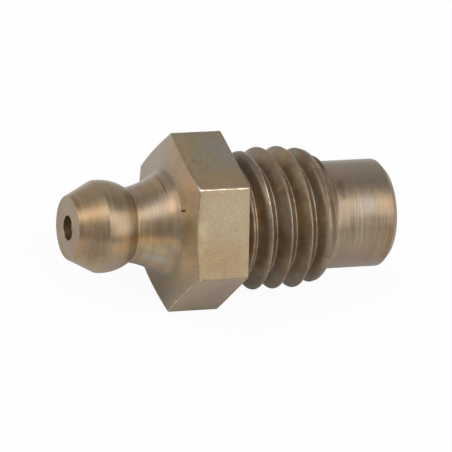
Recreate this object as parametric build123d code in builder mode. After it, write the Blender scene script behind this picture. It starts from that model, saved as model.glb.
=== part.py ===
"""Grease nipple: turned body with hexagon and coarse thread, check ball and check spring.

Millimetres. The axis is X, from the coupler head (-X) to the plain tail (+X), and one flat of the
hexagon faces down. The origin is on the axis, in the hexagon's seat face.
"""

import os
from math import cos, pi, radians, sin, sqrt, tan

from build123d import *

# Hexagon
HEX_ACROSS_FLATS = 11.0
HEX_LENGTH = 4.15
HEX_EDGE_RADIUS = 0.08
HEX_FRONT_CIRCLE = 9.82
HEX_FRONT_SLOPE = 18.8
HEX_SEAT_CIRCLE = 11.7
HEX_SEAT_SLOPE = 8.0

# Coupler head and neck
HEAD_DIAMETER = 6.5
HEAD_CENTRE_TO_HEX = 4.93
HEAD_FACE_TO_CENTRE = 2.32
HEAD_FACE_DIAMETER = 4.48
HEAD_FACE_CHAMFER = 0.05
HEAD_CONE_LENGTH = 1.78
GROOVE_TO_CENTRE = 1.94
GROOVE_RADIUS = 0.2
NECK_MIDDLE_DIAMETER = 6.06
NECK_ROOT_DIAMETER = 7.6
NECK_ROOT_RADIUS = 0.25

# Thread, right hand, and where along the shank a crest passes its top
THREAD_DIAMETER = 10.0
THREAD_PITCH = 1.5
THREAD_DEPTH = 0.92
THREAD_ANGLE = 60.0
THREAD_CREST_RADIUS = 0.2
THREAD_CREST_AT_TOP = 1.7
THREAD_START_DEPTH = 0.52
THREAD_FULL_FROM = 2.25
THREAD_FULL_TO = 5.2
THREAD_FADE_DEPTH = 0.4
THREAD_FADE_TO = 6.85
THREAD_END = 7.4
UNDERCUT_LENGTH = 0.5
UNDERCUT_BELOW_ROOT = 0.05

# Plain tail
PILOT_DIAMETER = 7.6
TAIL_END = 12.16
TAIL_CHAMFER = 0.44

# Grease way and check valve
INLET_DIAMETER = 1.73
INLET_DEPTH = 0.64
BALL_DIAMETER = 2.5
BALL_SEAT_ANGLE = 90.0
BALL_SEAT_GAP = 0.01
BALL_BORE_CLEARANCE = 0.15
SPRING_DIAMETER = 2.5
SPRING_WIRE = 0.3
SPRING_WIRE_SIDES = 6
SPRING_LENGTH = 6.0
SPRING_PITCH = 1.3
SPRING_END_GAP = 0.01
LIP_DIAMETER = 1.7
LIP_LENGTH = 0.35
LIP_SLOPE = 40.0
OUTLET_DIAMETER = 3.2

# Overlaps that let the solids join cleanly
RIDGE_SINK = 0.04
CONE_OVERRUN = 1.0

# Head and neck
head_centre = -HEX_LENGTH - HEAD_CENTRE_TO_HEX
head_face = head_centre - HEAD_FACE_TO_CENTRE
head_radius = HEAD_DIAMETER / 2
cone_end = head_face + HEAD_CONE_LENGTH
cone_end_radius = sqrt(head_radius**2 - (cone_end - head_centre) ** 2)
groove = head_centre + GROOVE_TO_CENTRE
groove_radius = sqrt(head_radius**2 - GROOVE_TO_CENTRE**2)
neck_middle = (groove - HEX_LENGTH) / 2

# Thread
crest_radius = THREAD_DIAMETER / 2
root_radius = crest_radius - THREAD_DEPTH
undercut_radius = root_radius - UNDERCUT_BELOW_ROOT
start_radius = crest_radius - THREAD_START_DEPTH
fade_radius = crest_radius - THREAD_FADE_DEPTH
thread_start = UNDERCUT_LENGTH + start_radius - undercut_radius
start_slope = THREAD_START_DEPTH / (THREAD_FULL_FROM - thread_start)
fade_slope = THREAD_FADE_DEPTH / (THREAD_FADE_TO - THREAD_FULL_TO)
pilot_radius = PILOT_DIAMETER / 2

# Check valve, laid out from the inlet towards the tail
ball_radius = BALL_DIAMETER / 2
bore_radius = ball_radius + BALL_BORE_CLEARANCE
inlet_radius = INLET_DIAMETER / 2
lip_radius = LIP_DIAMETER / 2
outlet_radius = OUTLET_DIAMETER / 2
seat_half_angle = radians(BALL_SEAT_ANGLE / 2)
seat_start = head_face + INLET_DEPTH
seat_end = seat_start + (bore_radius - inlet_radius) / tan(seat_half_angle)
ball_centre = (
    seat_start
    - inlet_radius / tan(seat_half_angle)
    + (ball_radius + BALL_SEAT_GAP) / sin(seat_half_angle)
)
wire_radius = SPRING_WIRE / 2
coil_radius = SPRING_DIAMETER / 2 - wire_radius
coil_start = ball_centre + sqrt((ball_radius + wire_radius + SPRING_END_GAP) ** 2 - coil_radius**2)
coil_end = coil_start + SPRING_LENGTH - SPRING_WIRE
lip_start = coil_end + wire_radius + SPRING_END_GAP
lip_end = lip_start + LIP_LENGTH
outlet_start = lip_end + (outlet_radius - lip_radius) * tan(radians(LIP_SLOPE))


def corner(sketch, x, radius):
    """The corner of a turned outline at a place along the axis and a radius."""
    return sketch.vertices().sort_by_distance((x, radius))[0]


# Thread: one ridge wound round the shank and cut back by a cone at each end. Three facets that touch
# the crest circle round its crest.
flank_angle = radians(THREAD_ANGLE / 2)
sharp_depth = THREAD_DEPTH + THREAD_CREST_RADIUS * (1 / sin(flank_angle) - 1)
ridge_foot = ((sharp_depth + RIDGE_SINK) * tan(flank_angle), root_radius - RIDGE_SINK)
crest_turn = (pi / 2 - flank_angle) / 4
crest_flat = THREAD_CREST_RADIUS * tan(crest_turn)
crest_corner = THREAD_CREST_RADIUS / cos(crest_turn)
shoulder = (
    crest_corner * sin(3 * crest_turn),
    crest_radius - THREAD_CREST_RADIUS + crest_corner * cos(3 * crest_turn),
)

with BuildPart() as thread_ridge:
    ridge_begin = THREAD_CREST_AT_TOP - 2 * THREAD_PITCH
    with BuildLine() as ridge_path:
        Helix(
            pitch=THREAD_PITCH,
            height=THREAD_END + THREAD_PITCH - ridge_begin,
            radius=crest_radius,
            center=(ridge_begin, 0, 0),
            direction=(1, 0, 0),
        )
    with BuildSketch(Plane(origin=(ridge_begin, 0, 0), x_dir=(1, 0, 0), z_dir=(0, -1, 0))):
        Polygon(
            (ridge_foot[0], ridge_foot[1] - RIDGE_SINK),
            ridge_foot,
            shoulder,
            (crest_flat, crest_radius),
            (-crest_flat, crest_radius),
            (-shoulder[0], shoulder[1]),
            (-ridge_foot[0], ridge_foot[1]),
            (-ridge_foot[0], ridge_foot[1] - RIDGE_SINK),
            align=None,
        )
    sweep(path=ridge_path.wire(), is_frenet=True)
    with BuildSketch():
        Polygon(
            (UNDERCUT_LENGTH, 0),
            (UNDERCUT_LENGTH, undercut_radius),
            (thread_start, start_radius),
            (THREAD_FULL_FROM + CONE_OVERRUN, crest_radius + CONE_OVERRUN * start_slope),
            (THREAD_FULL_TO - CONE_OVERRUN, crest_radius + CONE_OVERRUN * fade_slope),
            (THREAD_FADE_TO, fade_radius),
            (THREAD_END, pilot_radius),
            (THREAD_END, 0),
            align=None,
        )
    revolve(axis=Axis.X, mode=Mode.INTERSECT)

# Hexagon: a bar end chamfered deeply towards the neck and lightly round the seat
hex_radius = HEX_ACROSS_FLATS / sqrt(3)
front_depth = (hex_radius - HEX_FRONT_CIRCLE / 2) * tan(radians(HEX_FRONT_SLOPE))
seat_depth = (hex_radius - HEX_SEAT_CIRCLE / 2) * tan(radians(HEX_SEAT_SLOPE))

with BuildPart() as hexagon:
    with BuildSketch(Plane.YZ):
        RegularPolygon(radius=HEX_ACROSS_FLATS / 2, side_count=6, major_radius=False)
    extrude(amount=-HEX_LENGTH)
    fillet(hexagon.edges().filter_by(Axis.X), HEX_EDGE_RADIUS)
    with BuildSketch():
        Polygon(
            (-HEX_LENGTH, 0),
            (-HEX_LENGTH, HEX_FRONT_CIRCLE / 2),
            (-HEX_LENGTH + front_depth, hex_radius),
            (-seat_depth, hex_radius),
            (0, HEX_SEAT_CIRCLE / 2),
            (0, 0),
            align=None,
        )
    revolve(axis=Axis.X, mode=Mode.INTERSECT)

with BuildPart() as body:
    with BuildSketch() as outline:
        with BuildLine():
            Polyline(
                (0, 0),
                (head_face, 0),
                (head_face, HEAD_FACE_DIAMETER / 2),
                (cone_end, cone_end_radius),
            )
            ThreePointArc(
                (cone_end, cone_end_radius), (head_centre, head_radius), (groove, groove_radius)
            )
            ThreePointArc(
                (groove, groove_radius),
                (neck_middle, NECK_MIDDLE_DIAMETER / 2),
                (-HEX_LENGTH, NECK_ROOT_DIAMETER / 2),
            )
            Polyline(
                (-HEX_LENGTH, NECK_ROOT_DIAMETER / 2),
                (-HEX_LENGTH, HEX_FRONT_CIRCLE / 2 - NECK_ROOT_RADIUS),
                (-HEX_LENGTH / 2, undercut_radius),
                (UNDERCUT_LENGTH, undercut_radius),
                (UNDERCUT_LENGTH + UNDERCUT_BELOW_ROOT, root_radius),
                (THREAD_END - root_radius + pilot_radius, root_radius),
                (THREAD_END, pilot_radius),
                (TAIL_END - TAIL_CHAMFER, pilot_radius),
                (TAIL_END, pilot_radius - TAIL_CHAMFER),
                (TAIL_END, 0),
                (0, 0),
            )
        make_face()
        chamfer(corner(outline, head_face, HEAD_FACE_DIAMETER / 2), HEAD_FACE_CHAMFER)
        fillet(corner(outline, groove, groove_radius), GROOVE_RADIUS)
        fillet(corner(outline, -HEX_LENGTH, NECK_ROOT_DIAMETER / 2), NECK_ROOT_RADIUS)
    revolve(axis=Axis.X)
    add(hexagon.part)
    add(thread_ridge.part)
    with BuildSketch():
        Polygon(
            (head_face, 0),
            (head_face, inlet_radius),
            (seat_start, inlet_radius),
            (seat_end, bore_radius),
            (lip_start, bore_radius),
            (lip_start, lip_radius),
            (lip_end, lip_radius),
            (outlet_start, outlet_radius),
            (TAIL_END, outlet_radius),
            (TAIL_END, 0),
            align=None,
        )
    revolve(axis=Axis.X, mode=Mode.SUBTRACT)

with BuildPart() as check_ball:
    with Locations((ball_centre, 0, 0)):
        Sphere(ball_radius)

with BuildPart() as check_spring:
    with BuildLine() as coil_path:
        Helix(
            pitch=SPRING_PITCH,
            height=coil_end - coil_start,
            radius=coil_radius,
            center=(coil_start, 0, 0),
            direction=(1, 0, 0),
        )
    with BuildSketch(Plane(origin=(coil_start, 0, coil_radius), x_dir=(1, 0, 0), z_dir=(0, -1, 0))):
        RegularPolygon(wire_radius, SPRING_WIRE_SIDES)
    sweep(path=coil_path.wire(), is_frenet=True)

os.makedirs("parts", exist_ok=True)

body.part.label = "body"
check_ball.part.label = "check_ball"
check_spring.part.label = "check_spring"

export_step(body.part, "parts/body.step")
export_step(check_ball.part, "parts/check_ball.step")
export_step(check_spring.part, "parts/check_spring.step")
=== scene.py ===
"""Grease nipple: fine meshes, plating, studio light and camera round the packed CAD solids.

Metres. The axis is X, from the coupler head (-X) to the plain tail (+X), and one flat of the hexagon
faces down. The origin is on the axis, in the hexagon's seat face.
"""

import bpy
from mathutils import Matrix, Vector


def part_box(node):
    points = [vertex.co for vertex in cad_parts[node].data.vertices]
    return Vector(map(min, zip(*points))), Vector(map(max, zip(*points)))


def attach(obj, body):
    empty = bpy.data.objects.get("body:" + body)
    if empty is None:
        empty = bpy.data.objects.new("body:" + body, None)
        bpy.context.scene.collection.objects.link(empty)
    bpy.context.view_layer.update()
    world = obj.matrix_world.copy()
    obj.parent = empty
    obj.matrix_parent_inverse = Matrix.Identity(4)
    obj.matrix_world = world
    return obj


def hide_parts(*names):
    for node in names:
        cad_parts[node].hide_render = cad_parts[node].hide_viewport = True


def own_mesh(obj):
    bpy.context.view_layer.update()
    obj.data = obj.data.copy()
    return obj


bl_info = {
    "name": "Grease nipple",
    "version": (1, 0, 0),
    "blender": (4, 5, 0),
    "location": "View3D > Sidebar > Grease nipple",
    "description": "Turns a straight grease nipple with its check ball and spring, and lights it",
    "category": "Add Mesh",
}

from math import atan2, cos, pi, radians, sin, sqrt, tan
from typing import NamedTuple

import bmesh
import bpy
import numpy as np
from bpy.props import FloatProperty, FloatVectorProperty, IntProperty, PointerProperty
from mathutils import Matrix, Vector

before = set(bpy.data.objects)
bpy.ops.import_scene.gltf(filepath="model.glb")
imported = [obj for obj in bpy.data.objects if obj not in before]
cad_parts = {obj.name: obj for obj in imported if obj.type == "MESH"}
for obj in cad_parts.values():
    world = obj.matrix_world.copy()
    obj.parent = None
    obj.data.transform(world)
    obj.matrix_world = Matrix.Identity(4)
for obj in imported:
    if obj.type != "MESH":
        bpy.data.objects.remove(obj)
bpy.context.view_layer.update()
HEAD_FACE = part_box("body")[0].x
TAIL_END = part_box("body")[1].x
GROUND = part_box("body")[0].z
MM = 0.001

# Sizes too fine to be worth changing, in metres.
MERGED = 2e-8  # points closer than this are one
SHARP_EDGE = 0.04 * MM  # rounding of the lip's edges
UNDERCUT_EDGE = 0.15 * MM  # rounding where the seat meets the undercut
SEAT_BORDER = 0.3 * MM  # least width of the chamfer round the seat
CREST_BLEND = 0.05 * MM  # rounding where a lowered crest meets the full one
CONE_OVERRUN = 1.0 * MM  # how far the cones at the thread's ends run on over its crests

# How finely the meshes are divided.
SIDE_COLUMNS = 30
CORNER_COLUMNS = (0.0, 0.25, 0.5, 0.75, 1.0, 1.6)  # in halves of a rounded corner's angle
OFF_CORNER = 2.6  # the last of those columns, where the corner's wear has faded
BEND_STEPS = 6
RUN_ENDS = (0.03, 0.97)  # rings close to the ends of a straight run, as shares of it
HEAD_RINGS = 18
NECK_RINGS = 14
FRONT_RINGS = (0.12, 0.3, 0.5, 0.7, 0.88)  # shares of the way from the neck to the hexagon's side
CREST_RINGS, FLANK_RINGS, ROOT_RINGS = 6, 6, 4
STEPS_PER_COIL = 40

# The nipple's own axis is a piece's local Z, so that highlights stretch across the turning lines.
ALONG_AXIS = Matrix(((0, 0, 1, 0), (1, 0, 0, 0), (0, 1, 0, 0), (0, 0, 0, 1)))


# --- Sizes and colours ---------------------------------------------------------------------------


def size(name, description, millimetres):
    """A length that the user can change, given here in millimetres."""
    return FloatProperty(
        name=name, description=description, default=millimetres * MM, precision=5, subtype="DISTANCE"
    )


def slope(name, description, turn):
    """An angle that the user can change, given here in degrees."""
    return FloatProperty(name=name, description=description, default=radians(turn), subtype="ANGLE")


def share(name, description, amount):
    """A number from 0 to 1 that the user can change."""
    return FloatProperty(
        name=name, description=description, default=amount, min=0.0, max=1.0, subtype="FACTOR"
    )


def level(name, description, amount):
    """A light level that the user can change, where 1 shows as white."""
    return FloatProperty(name=name, description=description, default=amount, min=0.0)


def tint(name, description, red, green, blue):
    """A colour that the user can change, given here as a screen shows it, from 0 to 255."""
    shown = [channel / 255 for channel in (red, green, blue)]
    linear = [c / 12.92 if c <= 0.04045 else ((c + 0.055) / 1.055) ** 2.4 for c in shown]
    return FloatVectorProperty(
        name=name, description=description, default=linear, min=0.0, max=1.0, subtype="COLOR"
    )


class HeadSizes(bpy.types.PropertyGroup):
    """Coupler head, groove and flared neck."""

    diameter: size("Head diameter", "Largest diameter of the coupler head", 6.5)
    centre_to_hex: size("Head to hexagon", "From the centre of the head's ball to the hexagon", 4.93)
    face_diameter: size("Face diameter", "Diameter of the flat face round the inlet", 4.48)
    face_edge: size("Face edge", "Rounding between the face and the cone", 0.08)
    cone_length: size("Cone length", "Length of the cone between the face and the ball", 1.93)
    cone_edge: size("Cone edge", "Rounding between the cone and the ball", 0.06)
    groove_to_centre: size("Groove place", "From the centre of the head's ball to the groove", 1.94)
    groove_radius: size("Groove radius", "Rounding at the bottom of the groove", 0.2)
    neck_middle: size("Neck diameter", "Diameter half way along the neck", 6.06)
    neck_root: size("Neck root diameter", "Diameter where the neck meets the hexagon", 7.6)
    root_radius: size("Neck root radius", "Rounding between the neck and the hexagon", 0.12)


class HexagonSizes(bpy.types.PropertyGroup):
    """Spanner hexagon."""

    across_flats: size("Across flats", "Width of the hexagon across its flats", 11.0)
    length: size("Length", "Length of the hexagon along the axis", 4.15)
    corner_radius: size("Corner radius", "Rounding of the six long edges", 0.12)
    rim_radius: size("Rim radius", "Rounding of the edges round both ends of the flats", 0.08)
    front_rise: size("Front rise", "How far the domed front stands out at the neck", 0.19)
    front_inner_slope: slope("Inner slope", "Slope of the domed front at the neck", 15.0)
    front_outer_slope: slope("Outer slope", "Slope of the domed front at the corners", 10.0)
    seat_circle: size("Seat circle", "Diameter where the seat's chamfer starts", 11.7)
    seat_slope: slope("Seat slope", "Slope of the seat's chamfer", 4.0)


class ThreadSizes(bpy.types.PropertyGroup):
    """Coarse right-hand thread and plain tail."""

    diameter: size("Thread diameter", "Diameter over the crests", 10.0)
    pitch: size("Pitch", "From one crest to the next", 1.5)
    depth: size("Depth", "From a crest down to the root", 0.95)
    flank: slope("Flank angle", "Slope of one flank from the radius", 34.0)
    crest_rounding: size("Crest radius", "Rounding of the crests", 0.11)
    crest_at_top: size("Crest place", "Where a crest passes the top of the shank", 1.7)
    undercut_end: size("Undercut length", "Where the thread comes out of the undercut", 0.5)
    undercut_below_root: size("Undercut depth", "How far the undercut lies below the root", 0.05)
    start_depth: size("Start depth", "How much lower the first turn starts", 0.42)
    full_from: size("Full from", "Where the thread reaches its full height", 2.25)
    full_to: size("Full to", "Where the thread starts to fade", 5.2)
    fade_depth: size("Fade depth", "How much lower the last turn ends", 0.4)
    fade_to: size("Fade to", "Where the last turn drops off", 6.85)
    end: size("Thread end", "Where the thread has run out", 7.4)
    tail_diameter: size("Tail diameter", "Diameter of the plain tail", 7.6)
    tail_chamfer: size("Tail chamfer", "Chamfer at the end of the tail", 0.44)
    tail_edge: size("Tail edge", "Rounding of that chamfer's edges", 0.08)


class ValveSizes(bpy.types.PropertyGroup):
    """Grease way, check ball and spring."""

    inlet_diameter: size("Inlet diameter", "Diameter of the inlet hole", 1.73)
    inlet_depth: size("Inlet depth", "From the head's face to the ball's seat", 0.64)
    inlet_edge: size("Inlet edge", "Rounding of the inlet's mouth", 0.05)
    ball_diameter: size("Ball diameter", "Diameter of the check ball", 2.5)
    lift: size("Lift", "How far the check ball can be pushed in", 1.2)
    bore_diameter: size("Bore diameter", "Diameter of the bore that holds ball and spring", 2.8)
    spring_diameter: size("Spring diameter", "Outside diameter of the check spring", 2.5)
    spring_length: size("Spring length", "Length of the check spring", 6.0)
    wire_diameter: size("Wire diameter", "Diameter of the spring's wire", 0.3)
    coil_pitch: size("Coil pitch", "From one turn of the spring to the next", 1.3)
    lip_diameter: size("Lip diameter", "Diameter inside the lip that holds the spring", 1.7)
    lip_length: size("Lip length", "Length of that lip", 0.35)
    lip_gap: size("Lip gap", "Between the spring's last turn and the lip", 0.01)
    lip_slope: slope("Lip slope", "Slope from the lip to the outlet", 40.0)
    outlet_diameter: size("Outlet diameter", "Diameter of the outlet bore", 3.2)
    wire_sides: IntProperty(
        name="Wire sides", description="Sides of the wire's mesh", default=14, min=6, max=32
    )


class Finishes(bpy.types.PropertyGroup):
    """Colours and gloss of the passivated plating, the ball and the spring."""

    gold_plating: tint("Gold plating", "Warmer plating on the coupler head", 158, 133, 101)
    amber_plating: tint("Amber plating", "Warmest stains", 170, 134, 92)
    tan_plating: tint("Tan plating", "Main tone of the plating", 157, 136, 109)
    grey_plating: tint("Grey plating", "Paler plating on the tail and the faces", 148, 133, 114)
    olive_plating: tint("Olive plating", "Where the passivate's film is thicker", 150, 137, 102)
    rose_plating: tint("Rose plating", "Where the film is a little thicker", 170, 138, 116)
    slate_plating: tint("Slate plating", "Where the film is thickest", 146, 141, 131)
    lilac_plating: tint("Lilac plating", "Between rose and slate", 152, 135, 127)
    thread_plating: tint("Thread plating", "Darker plating in the thread", 132, 114, 90)
    russet_plating: tint("Russet plating", "Redder patches in the thread", 122, 94, 74)
    deposit: tint("Deposit", "Dried passivate in pits and corners", 62, 50, 36)
    # The bare edge colour also paints the edges' highlights.
    bare_edge_and_highlight: tint("Bare edge", "Metal where the plating is rubbed off an edge", 232, 220, 202)
    bore_plating: tint("Bore plating", "Dull plating in the grease way", 126, 108, 86)
    ball_steel: tint("Ball steel", "Bearing steel under a film of grease", 164, 152, 134)
    spring_steel: tint("Spring steel", "Drawn spring wire", 128, 126, 122)
    turned_roughness: share("Turned roughness", "Roughness of the turned surfaces", 0.4)
    flat_roughness: share("Flat roughness", "Roughness of the hexagon's flats", 0.45)
    thread_roughness: share("Thread roughness", "Roughness of the thread's flanks", 0.55)
    film: share("Film", "Clear passivate film over the plating", 0.6)
    turning_stretch: share("Turning stretch", "How far the turning lines stretch a highlight", 0.8)


class StageSettings(bpy.types.PropertyGroup):
    """Floor, light and camera."""

    azimuth: slope("Azimuth", "Direction that the camera stands in", -28.62)
    elevation: slope("Elevation", "Height of the camera over the floor", 36.85)
    roll: slope("Roll", "Turn of the camera about its own axis", 15.11)
    distance: size("Distance", "From the camera to the nipple", 456.1)
    frame_width: size("Frame width", "Width that the camera takes in at the nipple", 31.6)
    aim_right: size("Aim right", "How far right of the nipple's middle the camera looks", 2.68)
    aim_down: size("Aim down", "How far under the nipple's middle the camera looks", 0.30)
    middle: size("Middle", "Place along the axis from which the aim counts", -2.39)
    floor_width: size("Floor width", "Width of the floor", 3000.0)
    floor_colour: tint("Floor", "Pale floor", 236, 236, 234)
    floor_glow: share("Floor whiteness", "How far the floor shows as plain white", 0.95)
    floor_mirrored: share("Mirrored floor", "How far it shows as plain white in the metal", 0.1)
    backdrop_mirrored: share("Mirrored backdrop", "How far it shows as plain white in the metal", 0.2)
    room_light: level("Room light", "Light from the room round the softboxes", 0.46)
    backdrop_light: level("Backdrop light", "Light from the white backdrop behind the nipple", 0.75)
    left_light: level("Left light", "Light of the softbox on the head's side", 1.5)
    right_light: level("Right light", "Light of the softbox on the tail's side", 2.15)
    top_light: level("Top light", "Light of the softbox overhead", 2.5)


# --- Turned outlines -----------------------------------------------------------------------------


TURNED, FLAT, THREADED, BORED = range(4)


class Corner(NamedTuple):
    """A corner of an outline, with what follows it up to the next corner."""

    x: object
    radius: object
    rounding: float = 0.0
    rings: int = 1
    finish: int = TURNED


def ring_angles(corner_turn):
    """Angles round the axis, closer together at the hexagon's six rounded corners."""
    close = corner_turn * np.array([*CORNER_COLUMNS, OFF_CORNER])
    even = np.linspace(close[-1], pi / 3 - close[-1], SIDE_COLUMNS)[1:-1]
    sector = np.concatenate([close, even, pi / 3 - close[:0:-1]])
    return np.concatenate([corner * pi / 3 + sector for corner in range(6)])


def angle_off_corner(angles):
    """Angle between each direction and the nearest of the hexagon's corners."""
    return np.abs((angles + pi / 6) % (pi / 3) - pi / 6)


def hexagon_radius(angles, sizes):
    """Distance from the axis to the hexagon's side, and half the angle that a rounded corner takes."""
    flat, rounding = sizes.across_flats / 2, sizes.corner_radius
    reach = (flat - rounding) / cos(pi / 6)
    corner_turn = pi / 6 - atan2(reach * sin(pi / 6), flat)
    off_corner = angle_off_corner(angles)
    corner = reach * np.cos(off_corner) + np.sqrt(
        np.maximum(rounding**2 - (reach * np.sin(off_corner)) ** 2, 0)
    )
    return np.where(off_corner < corner_turn, corner, flat / np.cos(pi / 6 - off_corner)), corner_turn


def rounded(before, here, after, rounding):
    """The arc that rounds a corner, as points from one side to the other."""
    back, ahead = before - here, after - here
    back /= np.linalg.norm(back, axis=0)
    ahead /= np.linalg.norm(ahead, axis=0)
    half = np.arccos(np.clip((back * ahead).sum(0), -1, 1)) / 2
    inward = (back + ahead) / np.linalg.norm(back + ahead, axis=0)
    centre = here + inward * rounding / np.sin(half)
    start = here + back * rounding / np.tan(half) - centre
    end = here + ahead * rounding / np.tan(half) - centre
    turn = pi - 2 * half
    return [
        centre + (np.sin((1 - t) * turn) * start + np.sin(t * turn) * end) / np.sin(turn)
        for t in np.linspace(0, 1, BEND_STEPS + 1)
    ]


def outline_rings(corners, columns):
    """Rings along an outline, each an x and a radius for every column, and the finish after each ring.

    Every straight run also gets a ring close to each of its ends, so that flat faces stay flat.
    """
    points = [np.stack(np.broadcast_arrays(c.x, c.radius, np.zeros(columns))[:2]) for c in corners]
    bends = [
        rounded(*points[i - 1 : i + 2], corner.rounding) if corner.rounding else [points[i]]
        for i, corner in enumerate(corners)
    ]
    rings, finishes = [], []
    for i, corner in enumerate(corners):
        rings.extend(bends[i])
        if i + 1 < len(corners) and corner.rings > 1:
            begin, end = bends[i][-1], bends[i + 1][0]
            shares = [RUN_ENDS[0], *np.arange(1, corner.rings) / corner.rings, RUN_ENDS[1]]
            rings.extend(begin + (end - begin) * t for t in shares)
        finishes.extend([corner.finish] * (len(rings) - len(finishes)))
    return np.array(rings), finishes


def arc_corners(first, middle, last, count):
    """Corners along the arc through three points, without its two ends."""
    (ax, ay), (bx, by), (cx, cy) = first, middle, last
    double_area = 2 * (ax * (by - cy) + bx * (cy - ay) + cx * (ay - by))
    squares = [x * x + y * y for x, y in (first, middle, last)]
    centre_x = (squares[0] * (by - cy) + squares[1] * (cy - ay) + squares[2] * (ay - by)) / double_area
    centre_y = (squares[0] * (cx - bx) + squares[1] * (ax - cx) + squares[2] * (bx - ax)) / double_area
    radius = sqrt((ax - centre_x) ** 2 + (ay - centre_y) ** 2)
    begin, end = atan2(ay - centre_y, ax - centre_x), atan2(cy - centre_y, cx - centre_x)
    turns = np.linspace(begin, end, count + 1)[1:-1]
    return [Corner(centre_x + radius * cos(t), centre_y + radius * sin(t)) for t in turns]


def smaller_of(first, second, blend):
    """The smaller of two values, rounded over where they cross."""
    mix = np.clip(0.5 + (second - first) / (2 * blend), 0, 1)
    return second + (first - second) * mix - blend * mix * (1 - mix)


# --- Meshes --------------------------------------------------------------------------------------


def distances(rings):
    """How far each ring lies along the outline, in every column."""
    steps = np.linalg.norm(np.diff(rings, axis=0), axis=1)
    return np.concatenate([np.zeros((1, rings.shape[2])), np.cumsum(steps, axis=0)])


def ring_faces(ring_count, columns, first, wrap=0):
    """Quads between neighbouring rings. After a turn, the thread's rings meet those wrap rings on."""
    ring, column = np.mgrid[0 : ring_count - 1, 0:columns]
    ahead = (column + 1) % columns
    shift = np.where(ahead == 0, wrap, 0)
    near = np.minimum(ring + shift, ring_count - 1)
    far = np.minimum(ring + 1 + shift, ring_count - 1)
    quads = [
        ring * columns + column,
        near * columns + ahead,
        far * columns + ahead,
        (ring + 1) * columns + column,
    ]
    return np.stack(quads, axis=-1).reshape(-1, 4) + first


def linked(name, data):
    """A new object in the scene."""
    thing = bpy.data.objects.new(name, data)
    bpy.context.scene.collection.objects.link(thing)
    return thing


def link_piece(name, mesh):
    """An object for a mesh along the nipple's axis, smooth shaded, with its seams' points merged."""
    work = bmesh.new()
    work.from_mesh(mesh)
    bmesh.ops.remove_doubles(work, verts=work.verts, dist=MERGED)
    work.to_mesh(mesh)
    work.free()
    mesh.polygons.foreach_set("use_smooth", [True] * len(mesh.polygons))
    piece = linked(name, mesh)
    piece.matrix_world = ALONG_AXIS
    return piece


def domed_front(head, hexagon, radius):
    """Where the hexagon's domed front lies along the axis, at a distance from the axis."""
    inner, outer = tan(hexagon.front_inner_slope), tan(hexagon.front_outer_slope)
    width = hexagon.across_flats / 2 / cos(pi / 6) - head.neck_root / 2
    out = radius - head.neck_root / 2
    return -hexagon.length - hexagon.front_rise + inner * out + (outer - inner) * out**2 / (2 * width)


def ball_seat(valve):
    """Where the ball's conical seat starts and ends along the axis."""
    start = HEAD_FACE + valve.inlet_depth
    return start, start + valve.bore_diameter / 2 - valve.inlet_diameter / 2


def undercut_radius(thread):
    """Radius of the undercut between the hexagon and the thread."""
    return thread.diameter / 2 - thread.depth - thread.undercut_below_root


def crest_at_zero(thread):
    """Where a crest passes the side of the shank that angles count from."""
    return thread.crest_at_top - thread.pitch / 4


def front_corners(head, hexagon, thread, valve, side):
    """Outline from the ball's seat out of the inlet and over head, neck and hexagon to the undercut."""
    inlet, bore = valve.inlet_diameter / 2, valve.bore_diameter / 2
    seat_start, seat_end = ball_seat(valve)
    ball = head.diameter / 2
    centre = -hexagon.length - head.centre_to_hex
    cone_end_at = HEAD_FACE + head.cone_length
    cone_end = (cone_end_at, sqrt(ball**2 - (cone_end_at - centre) ** 2))
    groove = (centre + head.groove_to_centre, sqrt(ball**2 - head.groove_to_centre**2))
    neck_middle = ((groove[0] - hexagon.length) / 2, head.neck_middle / 2)
    neck_root = (-hexagon.length - hexagon.front_rise, head.neck_root / 2)
    seat_circle = hexagon.seat_circle / 2
    seat_edge = -np.maximum(side - seat_circle, 0) * tan(hexagon.seat_slope)
    undercut = undercut_radius(thread)
    front = [neck_root[1] + (side - neck_root[1]) * part for part in FRONT_RINGS]
    return [
        Corner(seat_end, bore, finish=BORED),
        Corner(seat_start, inlet, rings=2, finish=BORED),
        Corner(HEAD_FACE, inlet, valve.inlet_edge, rings=3),
        Corner(HEAD_FACE, head.face_diameter / 2, head.face_edge, rings=3),
        Corner(*cone_end, head.cone_edge),
        *arc_corners(cone_end, (centre, ball), groove, HEAD_RINGS),
        Corner(*groove, head.groove_radius),
        *arc_corners(groove, neck_middle, neck_root, NECK_RINGS),
        Corner(*neck_root, head.root_radius),
        *[Corner(domed_front(head, hexagon, radius), radius) for radius in front],
        Corner(domed_front(head, hexagon, side), side, hexagon.rim_radius, rings=4, finish=FLAT),
        Corner(seat_edge, side, hexagon.rim_radius, rings=2),
        Corner(0.0, np.minimum(seat_circle, side - SEAT_BORDER), rings=3),
        Corner(0.0, undercut, UNDERCUT_EDGE, rings=2, finish=THREADED),
        Corner(thread.undercut_end, undercut, finish=THREADED),
    ]


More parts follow.
